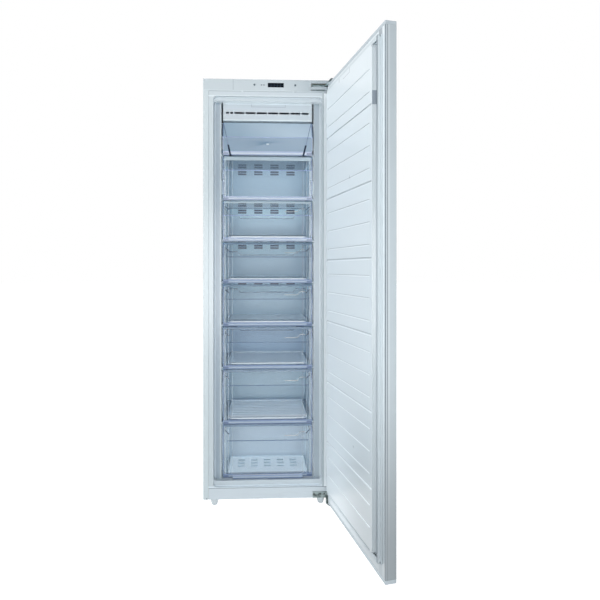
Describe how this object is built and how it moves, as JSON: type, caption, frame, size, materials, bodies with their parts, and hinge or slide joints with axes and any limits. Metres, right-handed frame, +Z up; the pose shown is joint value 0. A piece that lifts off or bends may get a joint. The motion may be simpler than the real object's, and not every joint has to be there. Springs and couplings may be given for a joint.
{
  "type": "built-in column freezer",
  "caption": "Tall built-in freezer with its hinged door open, clear pull-out drawers and lift-up flaps over glass shelves, a slotted air cover and a control strip.",
  "frame": {"origin": "on the floor, under the middle of the footprint with the door standing open", "axes": "+Z up, -Y towards the user in front of the freezer, +X to the user's right, where the door is hinged"},
  "size_m": [0.6564, 1.0298, 1.775],
  "materials": {
    "white_steel": "satin",
    "zinc_sheet": "satin",
    "foam": "matte",
    "white_lining": "satin",
    "white_plastic": "satin",
    "display": "gloss",
    "lamp": "gloss",
    "circuit_board": "satin",
    "hinge_steel": "satin",
    "cooling_fins": "satin",
    "black_steel": "satin",
    "black_plastic": "satin",
    "shelf_glass": "gloss",
    "clear_plastic": "gloss",
    "seal": "matte"
  },
  "bodies": {
    "cabinet": {"side_panel_left": "white_steel", "side_panel_right": "white_steel", "top_panel": "white_steel", "back_panel": "zinc_sheet", "base_tray": "zinc_sheet", "insulation": "foam", "lining": "white_lining", "kick_panel": "white_plastic", "fascia": "white_plastic", "display_window": "display", "lamp_strip": "lamp", "control_board": "circuit_board", "foot_front_left": "white_plastic", "foot_front_right": "white_plastic", "foot_rear_left": "white_plastic", "foot_rear_right": "white_plastic", "air_cover": "white_plastic", "cooling_block": "cooling_fins", "fan_shroud": "white_plastic", "fan_motor": "black_plastic", "air_duct": "white_plastic", "upper_hinge": "hinge_steel", "lower_hinge": "hinge_steel", "compressor": "black_steel", "terminal_box": "black_plastic", "drain_pan": "black_plastic", "condenser": "black_steel", "glass_shelf_1": "shelf_glass", "glass_shelf_2": "shelf_glass", "glass_shelf_3": "shelf_glass", "glass_shelf_4": "shelf_glass", "glass_shelf_5": "shelf_glass", "glass_shelf_6": "shelf_glass", "glass_shelf_7": "shelf_glass"},
    "door": {"door_skin": "white_steel", "door_foam": "foam", "door_lining": "white_lining", "door_gasket": "seal", "door_cap_top": "white_plastic", "door_cap_bottom": "white_plastic", "door_clip": "hinge_steel", "blank_plate": "white_plastic"},
    "button_left": {"button_left": "white_plastic"},
    "button_right": {"button_right": "white_plastic"},
    "fan_rotor": {"fan_rotor": "white_plastic"},
    "flap_1": {"flap_1": "clear_plastic"},
    "flap_2": {"flap_2": "clear_plastic"},
    "drawer_1": {"drawer_1": "clear_plastic"},
    "drawer_2": {"drawer_2": "clear_plastic"},
    "drawer_3": {"drawer_3": "clear_plastic"},
    "drawer_4": {"drawer_4": "clear_plastic"},
    "drawer_5": {"drawer_5": "clear_plastic"},
    "drawer_6": {"drawer_6": "clear_plastic"}
  },
  "joints": [
    {"name": "door_hinge", "type": "hinge", "parent": "cabinet", "child": "door", "pos_m": [0.19883, 0.00107, 0.883], "axis": [0, 0, 1], "range_deg": [-101.1, 12]},
    {"name": "flap_1_hinge", "type": "hinge", "parent": "cabinet", "child": "flap_1", "pos_m": [-0.06017, 0.08106, 1.605], "axis": [-1, 0, 0], "range_deg": [0, 65]},
    {"name": "flap_2_hinge", "type": "hinge", "parent": "cabinet", "child": "flap_2", "pos_m": [-0.06017, 0.08106, 1.46098], "axis": [-1, 0, 0], "range_deg": [0, 65]},
    {"name": "drawer_1_slide", "type": "slide", "parent": "cabinet", "child": "drawer_1", "axis": [0, -1, 0], "range_m": [0, 0.22]},
    {"name": "drawer_2_slide", "type": "slide", "parent": "cabinet", "child": "drawer_2", "axis": [0, -1, 0], "range_m": [0, 0.22]},
    {"name": "drawer_3_slide", "type": "slide", "parent": "cabinet", "child": "drawer_3", "axis": [0, -1, 0], "range_m": [0, 0.22]},
    {"name": "drawer_4_slide", "type": "slide", "parent": "cabinet", "child": "drawer_4", "axis": [0, -1, 0], "range_m": [0, 0.22]},
    {"name": "drawer_5_slide", "type": "slide", "parent": "cabinet", "child": "drawer_5", "axis": [0, -1, 0], "range_m": [0, 0.22]},
    {"name": "drawer_6_slide", "type": "slide", "parent": "cabinet", "child": "drawer_6", "axis": [0, -1, 0], "range_m": [0, 0.15]},
    {"name": "button_left_press", "type": "slide", "parent": "cabinet", "child": "button_left", "axis": [0, 1, 0], "range_m": [0, 0.0012], "stiffness_N_per_m": 400},
    {"name": "button_right_press", "type": "slide", "parent": "cabinet", "child": "button_right", "axis": [0, 1, 0], "range_m": [0, 0.0012], "stiffness_N_per_m": 400},
    {"name": "fan_spin", "type": "hinge", "parent": "cabinet", "child": "fan_rotor", "pos_m": [-0.06017, 0.29307, 1.6525], "axis": [0, 1, 0], "continuous": true}
  ]
}
